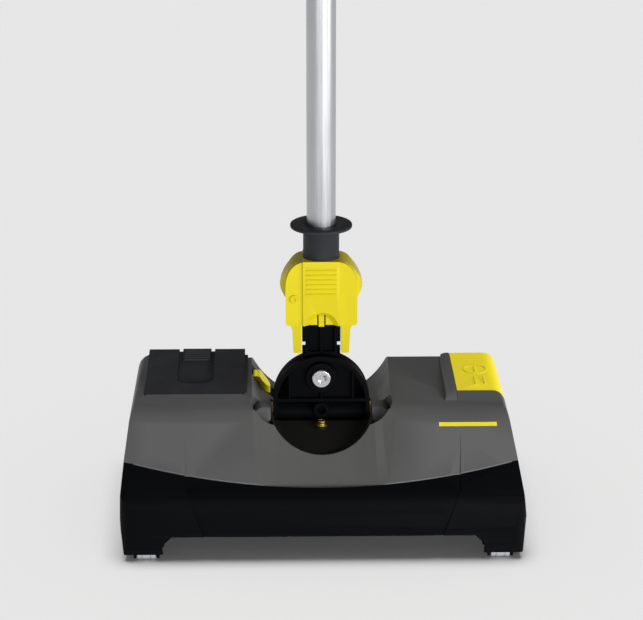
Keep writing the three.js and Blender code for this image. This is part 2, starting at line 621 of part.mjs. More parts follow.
// A grey lug that carries one end of the tilt shaft.
function makeLug() {
  const outline = new THREE.Shape();
  outline.moveTo(50.2, JOINT.shaft - 11);
  outline.lineTo(60, JOINT.shaft - 11);
  outline.quadraticCurveTo(67, JOINT.shaft - 9, 68, JOINT.shaft - 2);
  outline.quadraticCurveTo(67, JOINT.shaft + 8, 58, JOINT.shaft + 9);
  outline.lineTo(50.2, JOINT.shaft + 9);
  const lug = prismY(outline, JOINT.y - 22, JOINT.y + 12, 6);
  const plan = new THREE.Shape();
  plan.absellipse(LENS.x, LENS.y + 10, LENS.rx - 2.5, LENS.ry - 12, -Math.PI / 2, Math.PI / 2, false, 0);
  const round = rod('x', 40, 80, JOINT.y - 4, JOINT.shaft - 3, 15, 36);
  return cut(lug.intersect(round).intersect(prismZ(plan, 70, 120, 14)),
    rod('x', 40, 63.2, JOINT.y, JOINT.shaft, 6.5 + GAP, 20));
}

piece('trunnion_lug_right', makeLug(), COLOUR.grey, 0.45);
piece('trunnion_lug_left', mirrored(makeLug()), COLOUR.grey, 0.45);

const bush = () => union(
  ring('x', 50, 62.5, JOINT.y, JOINT.shaft, 6.5, 4 + GAP, 20),
  ring('x', 48.2, 49.7, JOINT.y, JOINT.shaft, 9, 4 + GAP, 20),
  ring('x', 49.6, 50.1, JOINT.y, JOINT.shaft, 6.5, 4 + GAP, 20),
);
piece('pivot_bush_right', bush(), COLOUR.amber, 0.4);
piece('pivot_bush_left', mirrored(bush()), COLOUR.amber, 0.4);
piece('pivot_shaft', rod('x', -62.8, 62.8, JOINT.y, JOINT.shaft, 4, 28), COLOUR.steel, 0.3, 1);

function makeScrew(x, y, z, washer, head, height) {
  const profile = [
    [0, z], [washer, z], [washer, z + 1.2], [head, z + 1.2], [head, z + height - 0.8],
    [head - 0.8, z + height], [0, z + height],
  ];
  const socket = rod('z', z + height - 2, z + height + 1, x, y, head * 0.45, 6);
  return cut(turned('z', profile, x, y, 28), socket);
}

const bowlScrew = makeScrew(0, SHELF_SCREW.y, SHELF_SCREW.z, 7, 4.2, 5);
const screwShank = rod('z', SHELF_SCREW.z - 5, SHELF_SCREW.z + 1, 0, SHELF_SCREW.y, 2.2, 16);
piece('bowl_screw', union(bowlScrew, screwShank), COLOUR.brass, 0.35, 1);

// ---------------------------------------------------------------- release lever
function makeLever() {
  const outer = rod('y', LEVER.y0, LEVER.y1, 0, TROUGH.z, TROUGH.r + 0.5, 72);
  const band = cut(outer, rod('y', 60, 120, 0, TROUGH.z, TROUGH.r - 4.5, 72));
  const plan = new THREE.Shape();
  plan.moveTo(LEVER.hingeX - 1.5, LEVER.y0 + 4);
  plan.lineTo(-60, LEVER.y0);
  plan.quadraticCurveTo(-51, LEVER.y0, -51, (LEVER.y0 + LEVER.y1) / 2);
  plan.quadraticCurveTo(-51, LEVER.y1, -60, LEVER.y1);
  plan.lineTo(LEVER.hingeX - 1.5, LEVER.y1 - 4);
  const tongue = band.intersect(prismZ(plan, 80, 112, 6));
  const barrel = rod('y', LEVER.y0 + 2, LEVER.y1 - 2, LEVER.hingeX, LEVER.hingeZ, 2.6, 20);
  return cut(union(tongue, barrel), rod('y', 60, 120, LEVER.hingeX, LEVER.hingeZ, 1.2 + GAP, 16));
}

piece('release_lever', makeLever(), COLOUR.yellow, 0.35);
const leverPin = rod('y', LEVER.y0 - 1.6, LEVER.y1 + 1.6, LEVER.hingeX, LEVER.hingeZ, 1.2, 16);
piece('lever_pin', leverPin, COLOUR.steel, 0.3, 1);

// ---------------------------------------------------------------- battery
// Height of the sloping top of the pack.
const packTop = (y) => PACK.front + ((PACK.back - PACK.front) * (y - PACK.y0)) / (PACK.y1 - PACK.y0);

function makePack() {
  const { x0, x1, y0, y1, z0, front, back, ledge } = PACK;
  const middle = (x0 + x1) / 2;
  const recess = { half: 18.3, deep: 4, end: y1 - 77 };
  const mound = { half: 14.5, start: y1 - 24, rib: 3.4 };
  const outline = new THREE.Shape();
  outline.moveTo(y0, z0);
  outline.lineTo(y0, front - 1.5);
  outline.lineTo(y0 + 1.5, packTop(y0 + 1.5));
  outline.lineTo(y1 - 4, packTop(y1 - 4));
  outline.quadraticCurveTo(y1, back, y1, back - 5);
  outline.lineTo(y1, z0);
  const plan = new THREE.Shape();
  plan.moveTo(middle - recess.half, y1 + 5);
  plan.lineTo(middle - recess.half, recess.end + 9);
  plan.quadraticCurveTo(middle - recess.half, recess.end, middle, recess.end);
  plan.quadraticCurveTo(middle + recess.half, recess.end, middle + recess.half, recess.end + 9);
  plan.lineTo(middle + recess.half, y1 + 5);
  const below = (y, depth) => [y, packTop(y) - depth];
  const above = prismX([
    below(y0, recess.deep), below(y1 + 5, recess.deep), [y1 + 5, 140], [y0, 140],
  ], x0, x1);
  const hollow = prismZ(plan, z0, 140, 10).intersect(above);
  const rise = prismX([
    below(mound.start, recess.deep + 1), below(mound.start, recess.deep), below(y1 - 3, 0.3),
    below(y1, 1), below(y1, recess.deep + 1),
  ], middle - mound.half, middle + mound.half);
  const ribs = [0, 1, 2, 3, 4].map((i) => {
    const y = mound.start + 3 + i * mound.rib;
    const depth = recess.deep * (1 - (y - mound.start) / (y1 - 3 - mound.start));
    return prismX([
      below(y, depth + 1), below(y, depth), below(y + 0.8, depth - 1.3), below(y + 1.7, depth - 1.3),
      below(y + 2.1, depth + 1),
    ], middle - mound.half + 1.5, middle + mound.half - 1.5);
  });
  const rim = prismX([
    [y0 + 4, topZ(y0 + 4) + GAP], [y0 + 4, topZ(y0 + 4) + 1], [y1 - 10, packTop(y1 - 10) - 3],
    [y1 - 10, topZ(y1 - 10) + GAP],
  ], x1 - 4, ledge);
  const slot = (x) => box(x - 2.5, x + 2.5, 40, 62, z0 - 5, z0 + 12);
  const shell = union(cut(prismX(outline, x0, x1, 6), hollow), rise, ...ribs, rim);
  return cut(shell, slot(middle - 12), slot(middle + 12));
}

piece('battery_pack', makePack(), COLOUR.dark, 0.5);

for (const [side, sign] of [['right', 1], ['left', -1]]) {
  const x = (PACK.x0 + PACK.x1) / 2 + sign * 12;
  piece(`battery_contact_${side}`, box(x - 1, x + 1, 43, 59, PACK.z0, PACK.z0 + 9), COLOUR.copper, 0.3, 1);
}

// ---------------------------------------------------------------- foot switch and its trim
function pedalOutline(inset) {
  const shape = new THREE.Shape();
  const { x0, x1, top, floor } = PEDAL;
  shape.moveTo(x0 + inset, floor + 4 - inset);
  shape.lineTo(x0 + inset, top - inset);
  shape.lineTo(x1 - 14, top - inset);
  shape.quadraticCurveTo(x1 - 3 - inset, top - inset, x1 - inset, floor + 4 - inset);
  return shape;
}

function makePedal() {
  const { x0, x1, y0, y1, top, skin: thick } = PEDAL;
  const outer = prismY(pedalOutline(0), y0, y1, 6);
  const hollow = prismY(pedalOutline(thick), y0 + thick, y1 - thick, 6).translate([0, 0, -0.01]);
  const frontCut = prismX([[y0 - 3, top + 3], [y0 - 3, top - 3.6], [y0 + 3.6, top + 3]], x0 - 5, x1 + 5);
  const mark = { x: 157, y: 71, raised: 0.5 };
  const badge = ring('z', top - 1, top + mark.raised, mark.x, mark.y, 12, 10.8, 36);
  const bar = box(mark.x - 0.7, mark.x + 0.7, mark.y - 8, mark.y + 8, top - 1, top + mark.raised);
  const lines = [-3, 6].map((x) => box(mark.x + x, mark.x + x + 1.2, 30, 50, top - 1, top + mark.raised));
  const hinge = rod('x', x0 + 2, x1 - 8, y0 + 9, top - 9, 4, 20);
  const leaf = box(x0 + 2, x1 - 8, y0 + 1.5, y0 + 11, top - 9, top - 2);
  const bore = rod('x', x0 - 5, x1 + 5, y0 + 9, top - 9, 1.6 + GAP, 16);
  return cut(union(cut(outer, hollow, frontCut), badge, bar, ...lines, hinge, leaf), bore);
}

piece('foot_switch', makePedal(), COLOUR.yellow, 0.35);
const switchPin = rod('x', PEDAL.x0 - 0.1, PEDAL.x1 - 6, PEDAL.y0 + 9, PEDAL.top - 9, 1.6, 16);
piece('switch_pin', switchPin, COLOUR.steel, 0.3, 1);
piece('switch_spring', coil(150, 60, PEDAL.floor + GAP, 11.5, 5, 0.7, 4), COLOUR.steel, 0.3, 1);

const microswitch = union(
  box(154, 172, 88, 98, PEDAL.floor + GAP, PEDAL.floor + 7),
  box(158, 161, 91, 95, PEDAL.floor + 6, PEDAL.floor + 9),
);
piece('microswitch', microswitch, COLOUR.dark, 0.5);

function makeRamp() {
  const { x0, x1, y0, y1, z } = RAMP;
  const base = HEAD.top + GAP;
  const side = [[y0, topZ(y0) + GAP], [PEDAL.y0, z], [y1, z], [y1, topZ(y1) + GAP]];
  const face = [[x0, base], [x1, base], [x1, z], [x1 - 4, z], [x0 + 1.5, HEAD.rear]];
  return prismX(side, x0, x1).intersect(prismY(face, y0, y1 + 1));
}

piece('switch_ramp', makeRamp(), COLOUR.grey, 0.5);

function makeBoard() {
  const board = box(84, 176, 18, 98, 78, 79.6);
  const parts = [
    box(90, 106, 30, 46, 79, 86), box(112, 120, 60, 80, 79, 90), box(130, 150, 28, 40, 79, 84),
    rod('z', 79, 92, 160, 78, 6, 20), rod('z', 79, 92, 146, 78, 6, 20), box(92, 104, 66, 90, 79, 83),
  ];
  return union(board, ...parts);
}

piece('circuit_board', makeBoard(), COLOUR.green, 0.5);

// ---------------------------------------------------------------- knuckle (tilts about the shaft)
// Outline (x, z) with a round top about centre and upright sides down to base.
function archOutline(radius, centre, base) {
  const shape = new THREE.Shape();
  shape.moveTo(radius, base);
  shape.lineTo(radius, centre);
  shape.absarc(0, centre, radius, 0, Math.PI, false);
  shape.lineTo(-radius, base);
  return shape;
}

function makeKnuckle() {
  const { r, base, depth, plate, rim, slot, wall } = KNUCKLE;
  const y0 = JOINT.y - depth / 2;
  const y1 = JOINT.y + depth / 2;
  const gap0 = JOINT.y - slot / 2;
  const gap1 = JOINT.y + slot / 2;
  const bar = { z0: 113.8, z1: 117 };
  const half = (centre, from, to, plate0, plate1) => union(
    prismY(archOutline(r, centre, base), plate0, plate1, 20),
    cut(prismY(archOutline(r, centre, base), from, to, 20),
      prismY(archOutline(r - rim, centre, base + 5), from - 1, to + 1, 20)),
    ...[-31, 31].map((x) => box(x - 1, x + 1, from + 1.5, to - 1.5, bar.z1 - 1, centre + 30)),
    box(-r + rim - 1, r - rim + 1, from + 0.8, to - 0.8, bar.z0, bar.z1),
  );
  const pocket = prismY(archOutline(r - rim, KNUCKLE.front, base), y0, gap0 + 0.1, 20)
    .intersect(box(32, r, -10, 60, bar.z1, 200));
  const front = cut(half(KNUCKLE.front, y0, gap0, gap0 - plate, gap0),
    pocket, mirrored(pocket), midBox(r - rim, y0, gap0 + 0.1, base + 5, bar.z0));
  const back = half(KNUCKLE.rear, gap1, y1, gap1, gap1 + plate);
  const web = cut(
    prismY(archOutline(r, KNUCKLE.rear, base), gap0 - 1, gap1 + 1, 20),
    midBox(r - 2.2, gap0 - 2, gap1 + 2, 0, 200), midBox(r + 1, gap0 - 2, gap1 + 2, wall, 200),
  );
  const tube = rod('x', -r + 0.4, r - 0.4, JOINT.y, JOINT.shaft, 10, 28);
  const eye = { z: 105.5, outer: 7.6, inner: 4.3 };
  const boss = rod('y', y0 - 1, gap0, 0, eye.z, eye.outer, 28);
  const bossFront = rod('y', y0 + 1, gap0, 0, JOINT.bolt, 15, 28);
  const bossBack = rod('y', gap1, y1 - 1, 0, JOINT.bolt, 15, 28);
  const key = box(-0.8, 0.8, y0 + 1.5, gap0, eye.z + 5, JOINT.bolt - 10);
  const legPath = rod('y', gap0, gap1, 0, JOINT.bolt, 30.5, 64);
  return cut(
    union(front, back, web, tube, boss, bossFront, bossBack, key),
    rod('x', -60, 60, JOINT.y, JOINT.shaft, 4 + GAP, 28),
    rod('y', -10, 60, 0, JOINT.bolt, 5 + GAP, 24),
    rod('y', y0 - 3, gap0 - plate, 0, eye.z, eye.inner, 24),
    legPath,
  );
}

piece('knuckle', makeKnuckle(), COLOUR.black, 0.4);

function makeBolt() {
  const head = JOINT.y - KNUCKLE.depth / 2 + 1 - GAP;
  const profile = [
    [0, head - 4], [8.5, head - 4], [9.5, head - 3], [9.5, head], [5, head], [5, head + 34], [0, head + 34],
  ];
  const socket = rod('y', head - 6, head - 1.5, 0, JOINT.bolt, 3.8, 6);
  return cut(turned('y', profile, 0, JOINT.bolt, 36), socket);
}

piece('swivel_bolt', makeBolt(), COLOUR.steel, 0.25, 1);

const NUT_Y = JOINT.y + KNUCKLE.depth / 2 - 1 + GAP;
const nut = cut(
  rod('y', NUT_Y, NUT_Y + 5, 0, JOINT.bolt, 8.5, 6), rod('y', NUT_Y - 1, NUT_Y + 6, 0, JOINT.bolt, 5 + GAP, 20),
);
piece('swivel_nut', nut, COLOUR.steel, 0.3, 1);

// ---------------------------------------------------------------- post, sleeve, collar (swivel about the bolt)
function makePost() {
  const { half, neck, shoulder, depth, top, flange } = POST;
  const mid = JOINT.y;
  const y0 = mid - depth / 2;
  const y1 = mid + depth / 2;
  const shape = new THREE.Shape();
  shape.moveTo(half, JOINT.bolt);
  shape.lineTo(half, shoulder);
  shape.lineTo(neck, shoulder + 2);
  shape.lineTo(neck, top);
  shape.lineTo(-neck, top);
  shape.lineTo(-neck, shoulder + 2);
  shape.lineTo(-half, shoulder);
  shape.lineTo(-half, JOINT.bolt);
  shape.absarc(0, JOINT.bolt, half, Math.PI, Math.PI * 2, false);
  const slab = prismY(shape, y0, y1, 14);
  const pockets = [];
  for (const [from, to] of [[-12.6, -1.4], [1.4, 12.6]]) {
    pockets.push(box(from, to, y0 - 1, y0 + 4, POST.pocket, top - 6));
    pockets.push(box(from, to, y1 - 4, y1 + 1, POST.pocket, top - 6));
  }
  for (const side of [-1, 1]) {
    const edge = side * (half - flange);
    for (const [z0, z1] of [[161, 164], [165.5, 173.5]]) {
      pockets.push(box(Math.min(edge, side * 22), Math.max(edge, side * 22), y0 - 1, y1 + 1, z0, z1));
    }
  }
  return cut(slab, ...pockets, rod('y', 0, 40, 0, JOINT.bolt, 5 + GAP, 24));
}

// The post carries a round spigot that the collar and the tube fit over.
function makePostWithSpigot() {
  const spigot = rod('z', POST.top - 1, 330, 0, JOINT.y, TUBE.r - TUBE.wall - GAP, 36);
  return union(makePost(), spigot);
}

piece('joint_post', makePostWithSpigot(), COLOUR.black, 0.4);

// Front view of the sleeve body with its two legs and elliptical shoulders.
function sleeveOutline() {
  const { half, panel, z0, leg, legIn, legOut } = SLEEVE;
  const shoulder = { z: 234, rise: 25 };
  const side = [
    [legIn, z0], [legIn, leg + 0.8], [legIn + 0.8, leg], [legOut - 0.6, leg], [legOut, leg + 0.6],
    [legOut + 1.2, z0 - 8], [legOut + 4, z0 - 2.5], [half, z0 + 2.5], [half, shoulder.z],
  ];
  for (let i = 1; i <= 8; i += 1) {
    const angle = (i / 8) * (Math.PI / 2);
    const across = (half - panel + 1) * Math.cos(angle);
    side.push([panel - 1 + across, shoulder.z + shoulder.rise * Math.sin(angle)]);
  }
  return [...side, ...side.map(([x, z]) => [-x, z]).reverse()];
}

// Front view of the wider grip behind the shoulders.
function gripOutline() {
  const side = [
    [30, 214], [34, 220.5], [37.7, 226], [39.5, 229.5], [SLEEVE.grip, 233], [38.8, 238.5], [36.2, 244],
    [32.5, 249.5], [28.5, 254], [24.5, 257.2], [20, SLEEVE.top],
  ];
  return [...side, ...side.map(([x, z]) => [-x, z]).reverse()];
}

function sleevePlan(half, y0, y1, round) {
  const plan = new THREE.Shape();
  plan.moveTo(-half + round, y0);
  plan.lineTo(half - round, y0);
  plan.quadraticCurveTo(half, y0, half, JOINT.y);
  plan.quadraticCurveTo(half, y1, half - round, y1);
  plan.lineTo(-half + round, y1);
  plan.quadraticCurveTo(-half, y1, -half, JOINT.y);
  plan.quadraticCurveTo(-half, y0, -half + round, y0);
  return plan;
}

function makeSleeve() {
  const { panel, y0, y1, z0, seat, top, room, travel } = SLEEVE;
  const face = y0 - 1.7;
  const legs = { y0: JOINT.y - 6.6, y1: JOINT.y + 6.6 };
  const body = cut(prismY(sleeveOutline(), y0, y1),
    cut(midBox(60, y0 - 1, y1 + 1, 150, z0), midBox(60, legs.y0, legs.y1, 150, z0)));
  const grip = prismY(gripOutline(), y0 + 6, y1 - 6)
    .intersect(prismZ(sleevePlan(SLEEVE.grip + 0.5, y0 + 5, y1 - 5, 12), 200, 280, 8));
  const panels = union(midBox(panel, face, JOINT.y, z0, 260), midBox(panel, JOINT.y, y1 + 1.7, z0, 260));
  const chin = turned('y', [[0, face - 2], [19.5, face - 2], [12, face + 4], [0, face + 4], [0, face - 2]],
    0, z0 - 3, 40);
  const ribs = [0, 1, 2, 3, 4, 5].map((i) => {
    const z = seat - 6 - 4.8 * i;
    return prismX([[face + 1, z - 1.6], [face, z - 1.6], [face - 0.9, z], [face, z + 0.9], [face + 1, z + 0.9]],
      -14.5, 14.5);
  });
  const tongue = midBox(2.7, face + 3.4, y0 + 8, z0 - 1.6, z0 + 3);
  const slots = [-3.4, 3.4].map((x) => box(x - 0.65, x + 0.65, face - 3, y0 + 13, z0 - 4, z0 + 11));
  const collarBore = rod('z', seat, top + 5, 0, JOINT.y, COLLAR.r + room, 40);
  const spigotBore = rod('z', POST.top - 4, top, 0, JOINT.y, TUBE.r - TUBE.wall + room, 28);
  const thick = POST.depth / 2 + room;
  const channel = union(
    midBox(POST.half + room, JOINT.y - thick, JOINT.y + thick, 140, POST.shoulder + travel + 2.6),
    midBox(POST.neck + room, JOINT.y - thick, JOINT.y + thick, 140, top + 5),
  );
  return cut(union(body, grip, panels, ...ribs, tongue), chin.subtract(tongue), channel, collarBore, spigotBore,
    ...slots);
}

piece('lock_sleeve', makeSleeve(), COLOUR.yellow, 0.3);

const SLEEVE_SCREW = { x: -26.7, z: 222, r: 4.1 };
const sleeveScrew = turned('y', [
  [0, SLEEVE.y0 - 0.7], [1.2, SLEEVE.y0 - 0.7], [1.8, SLEEVE.y0 - 1.5], [SLEEVE_SCREW.r - 0.6, SLEEVE.y0 - 1.5],
  [SLEEVE_SCREW.r, SLEEVE.y0 - 1], [SLEEVE_SCREW.r, SLEEVE.y0 - GAP], [0, SLEEVE.y0 - GAP],
  [0, SLEEVE.y0 - 0.7],
], SLEEVE_SCREW.x, SLEEVE_SCREW.z, 24);
piece('sleeve_screw', sleeveScrew, COLOUR.yellow, 0.3);

function makeCollar() {
  const { r, z0, z1 } = COLLAR;
  const bore = TUBE.r + GAP;
  const profile = [
    [TUBE.r - TUBE.wall, z0], [r - 0.8, z0], [r, z0 + 0.8], [r, z1 - 3], [FLANGE.r - 1, z1],
    [FLANGE.r, z1 + 0.8], [FLANGE.r, FLANGE.z1 - 0.8], [FLANGE.r - 1, FLANGE.z1], [bore + 1.2, FLANGE.z1],
    [bore, z1], [bore, TUBE.foot - GAP], [TUBE.r - TUBE.wall, TUBE.foot - GAP], [TUBE.r - TUBE.wall, z0],
  ];
  return turned('z', profile, 0, JOINT.y, 36);
}

piece('collar', makeCollar(), COLOUR.black, 0.6);

// ---------------------------------------------------------------- pole
const tube = (z0, z1, r, wall) => ring('z', z0, z1, 0, JOINT.y, r, r - wall, 36);

piece('lower_tube', tube(TUBE.foot, TUBE.z1, TUBE.r, TUBE.wall), COLOUR.alu, 0.35, 1);
piece('upper_tube', tube(UPPER.z0, UPPER.z1, UPPER.r, UPPER.wall), COLOUR.alu, 0.35, 1);

function makeClamp() {
  const { r, z0, z1 } = CLAMP;
  const low = TUBE.r + GAP;
  const high = UPPER.r + GAP;
  const step = TUBE.z1 + GAP;
  const profile = [
    [low, z0], [r - 3, z0], [r, z0 + 6], [r, z1 - 6], [r - 4, z1], [high, z1], [high, step],
    [low, step], [low, z0],
  ];
  const flutes = [];
  for (let i = 0; i < 10; i += 1) {
    const angle = (i / 10) * Math.PI * 2;
    const [x, y] = [(r + 1.6) * Math.cos(angle), (r + 1.6) * Math.sin(angle)];
    flutes.push(rod('z', z0 + 8, z1 - 8, x, JOINT.y + y, 3, 12));
  }
  return cut(turned('z', profile, 0, JOINT.y, 32), ...flutes);
}

piece('clamp_collar', makeClamp(), COLOUR.black, 0.5);

function makeGrip() {
  const { r, z0, z1 } = GRIP;
  const bore = UPPER.r + GAP;
  const profile = [[bore, z0], [r - 1.5, z0], [r + 1.5, z0 + 5], [r - 1, z0 + 14]];
  for (let i = 0; i <= 6; i += 1) {
    const share = i / 6;
    profile.push([r - 1 + 1.6 * Math.sin(Math.PI * share), z0 + 18 + share * (z1 - z0 - 26)]);
  }
  profile.push([r, z1 - 4], [bore, z1 - 4], [bore, z0]);
  return turned('z', profile, 0, JOINT.y, 28);
}

piece('hand_grip', makeGrip(), COLOUR.rubber, 0.85);

// The end cap closes the tube and has a hanging hole.
function makeEndCap() {
  const { r, z1, top } = GRIP;
  const base = z1 - 4 + GAP;
  const outline = new THREE.Shape();
  outline.moveTo(-r, base);
  outline.lineTo(r, base);
  outline.lineTo(r, top - 12);
  outline.quadraticCurveTo(r, top, 0, top);
  outline.quadraticCurveTo(-r, top, -r, top - 12);
  const cap = prismY(outline, JOINT.y - r, JOINT.y + r, 8).intersect(rod('z', base, top, 0, JOINT.y, r, 36));
  const loop = union(cap.intersect(box(-r, r, JOINT.y - 7, JOINT.y + 7, base, top)),
    rod('z', base, base + 6, 0, JOINT.y, r, 36));
  return cut(loop, rod('y', -20, 60, 0, top - 11, 5.5, 24));
}

piece('end_cap', makeEndCap(), COLOUR.black, 0.5);

export default sweeper;
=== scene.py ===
"""Looks of the battery sweeper: camera, studio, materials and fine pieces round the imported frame."""
import json
import math
import random

import bmesh
import bpy
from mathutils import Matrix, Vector
from mathutils.bvhtree import BVHTree


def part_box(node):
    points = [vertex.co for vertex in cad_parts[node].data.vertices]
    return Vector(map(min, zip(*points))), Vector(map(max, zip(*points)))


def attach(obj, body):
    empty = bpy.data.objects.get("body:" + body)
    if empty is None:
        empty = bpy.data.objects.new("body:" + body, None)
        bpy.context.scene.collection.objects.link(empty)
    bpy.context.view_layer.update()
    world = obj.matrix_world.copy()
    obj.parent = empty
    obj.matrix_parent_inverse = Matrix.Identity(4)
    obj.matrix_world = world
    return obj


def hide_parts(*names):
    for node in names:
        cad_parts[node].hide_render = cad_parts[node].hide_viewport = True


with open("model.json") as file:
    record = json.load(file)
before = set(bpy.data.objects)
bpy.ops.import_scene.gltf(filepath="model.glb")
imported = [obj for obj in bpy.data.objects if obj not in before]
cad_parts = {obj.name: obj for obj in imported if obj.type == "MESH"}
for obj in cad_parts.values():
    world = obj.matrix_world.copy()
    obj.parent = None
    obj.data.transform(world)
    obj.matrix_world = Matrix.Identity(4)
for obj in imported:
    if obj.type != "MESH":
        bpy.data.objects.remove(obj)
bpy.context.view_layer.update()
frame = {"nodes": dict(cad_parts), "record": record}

RECORD = frame["record"]
BODY_OF = {node: body for body, nodes in RECORD["behaviour"]["bodies"].items() for node in nodes}
SLOT_OF = {part["node"]: part["material_slot"] for part in RECORD["subparts"]}
MM = 0.001

# ---------------------------------------------------------------- camera and studio
CAMERA_DISTANCE = 1.9
CAMERA_HEIGHT = 0.887
CAMERA_PITCH = math.radians(19.58)
CAMERA_TURN = math.radians(-1.0)
CAMERA_LENS = 116.57
FLOOR_GAP = 0.0003          # the floor lies this far under the wheels
LIGHT_AIM = (0, 0, 0.12)    # the middle of the floor head
SUN_SPREAD = math.radians(38)


def make_camera():
    data = bpy.data.cameras.new("camera")
    data.lens = CAMERA_LENS
    data.sensor_width = 36
    data.clip_start = 0.05
    data.clip_end = 60
    camera = bpy.data.objects.new("camera", data)
    bpy.context.scene.collection.objects.link(camera)
    forward = Vector((
        -math.sin(CAMERA_TURN) * math.cos(CAMERA_PITCH),
        math.cos(CAMERA_TURN) * math.cos(CAMERA_PITCH),
        -math.sin(CAMERA_PITCH),
    ))
    camera.location = (
        CAMERA_DISTANCE * math.sin(CAMERA_TURN), -CAMERA_DISTANCE * math.cos(CAMERA_TURN), CAMERA_HEIGHT,
    )
    camera.rotation_mode = "QUATERNION"
    camera.rotation_quaternion = forward.to_track_quat("-Z", "Y")
    bpy.context.scene.camera = camera


def make_light(name, place, target, size, power):
    """A rectangular soft box that faces the target."""
    data = bpy.data.lights.new(name, "AREA")
    data.shape = "RECTANGLE"
    data.size, data.size_y = size
    data.energy = power
    light = bpy.data.objects.new(name, data)
    bpy.context.scene.collection.objects.link(light)
    light.location = place
    light.rotation_mode = "QUATERNION"
    light.rotation_quaternion = (Vector(target) - Vector(place)).to_track_quat("-Z", "Y")
    return light


def make_sun(name, strength, shadow=True):
    """An overhead soft light, the same all over the floor."""
    data = bpy.data.lights.new(name, "SUN")
    data.energy = strength
    data.angle = SUN_SPREAD
    data.use_shadow = shadow
    sun = bpy.data.objects.new(name, data)
    bpy.context.scene.collection.objects.link(sun)
    sun.location = (0, 0, 3)
    return sun


def aim_only(light, things, state):
    """Keeps a light to some objects (INCLUDE) or off them (EXCLUDE)."""
    group = bpy.data.collections.new(light.name + "_receivers")
    for thing in things:
        group.objects.link(thing)
    for member in group.collection_objects:
        member.light_linking.link_state = state
    light.light_linking.receiver_collection = group


def make_floor():
    bm = bmesh.new()
    bmesh.ops.create_grid(bm, x_segments=40, y_segments=40, size=12)
    mesh = bpy.data.meshes.new("studio_floor")
    bm.to_mesh(mesh)
    bm.free()
    floor = bpy.data.objects.new("studio_floor", mesh)
    bpy.context.scene.collection.objects.link(floor)
    floor.location.z = -FLOOR_GAP
    material = bpy.data.materials.new("studio_floor")
    material.use_nodes = True
    shader = material.node_tree.nodes["Principled BSDF"]
    shader.inputs["Base Color"].default_value = (0.8, 0.8, 0.8, 1)
    shader.inputs["Roughness"].default_value = 0.95
    shader.inputs["Specular IOR Level"].default_value = 0.0
    mesh.materials.append(material)
    return floor


def make_studio(floor):
    world = bpy.data.worlds.new("studio")
    world.use_nodes = True
    background = world.node_tree.nodes["Background"]
    background.inputs["Color"].default_value = (1, 1, 1, 1)
    background.inputs["Strength"].default_value = 0.15
    bpy.context.scene.world = world
    bpy.context.scene.view_settings.view_transform = "Standard"
    aim_only(make_sun("floor_light", 2.32), [floor], "INCLUDE")
    aim_only(make_sun("floor_fill", 0.34, shadow=False), [floor], "INCLUDE")
    for light in (
        make_light("key_light", (1.35, -2.7, 0.66), LIGHT_AIM, (1.6, 0.7), 60),
        make_light("fill_light", (-0.9, -3.0, 0.55), LIGHT_AIM, (1.8, 0.7), 17),
        make_light("side_light", (2.3, -1.2, 0.6), LIGHT_AIM, (0.5, 1.2), 17),
        make_light("back_light", (-0.6, 2.4, 1.6), (0, 0, 0.3), (1.6, 1.2), 2.5),
    ):
        aim_only(light, [floor], "EXCLUDE")


# ---------------------------------------------------------------- materials
class Shading:
    """A node material under construction, with its texture coordinates in metres."""

    def __init__(self, name):
        self.material = bpy.data.materials.new(name)
        self.material.use_nodes = True
        self.tree = self.material.node_tree
        self.shader = self.tree.nodes["Principled BSDF"]
        self.place = self.tree.nodes.new("ShaderNodeTexCoord").outputs["Object"]

    def link(self, output, target):
        self.tree.links.new(output, target)

    def stretched(self, scale):
        mapping = self.tree.nodes.new("ShaderNodeMapping")
        mapping.inputs["Scale"].default_value = scale
        self.link(self.place, mapping.inputs["Vector"])
        return mapping.outputs["Vector"]

    def noise(self, scale, detail=3.0, vector=None):
        node = self.tree.nodes.new("ShaderNodeTexNoise")
        node.inputs["Scale"].default_value = scale
        node.inputs["Detail"].default_value = detail
        self.link(vector or self.place, node.inputs["Vector"])
        return node.outputs["Fac"]

    def spread(self, source, low, high, start=0.3, end=0.7):
        node = self.tree.nodes.new("ShaderNodeMapRange")
        node.inputs["From Min"].default_value = start
        node.inputs["From Max"].default_value = end
        node.inputs["To Min"].default_value = low
        node.inputs["To Max"].default_value = high
        self.link(source, node.inputs["Value"])
        return node.outputs["Result"]

    def mix(self, factor, first, second):
        node = self.tree.nodes.new("ShaderNodeMix")
        node.data_type = "RGBA"
        self.link(factor, node.inputs["Factor"])
        for socket, value in ((node.inputs["A"], first), (node.inputs["B"], second)):
            if isinstance(value, tuple):
                socket.default_value = (*value, 1)
            else:
                self.link(value, socket)
        return node.outputs["Result"]

    def edges(self):
        """One along sharp outer edges, zero elsewhere."""
        geometry = self.tree.nodes.new("ShaderNodeNewGeometry")
        return self.spread(geometry.outputs["Pointiness"], 0.0, 1.0, 0.52, 0.6)

    def bump(self, height, strength, distance, below=None):
        node = self.tree.nodes.new("ShaderNodeBump")
        node.inputs["Strength"].default_value = strength
        node.inputs["Distance"].default_value = distance
        self.link(height, node.inputs["Height"])
        if below is not None:
            self.link(below, node.inputs["Normal"])
        return node.outputs["Normal"]


def tinted(colour, factor):
    return tuple(min(1.0, c * factor) for c in colour)


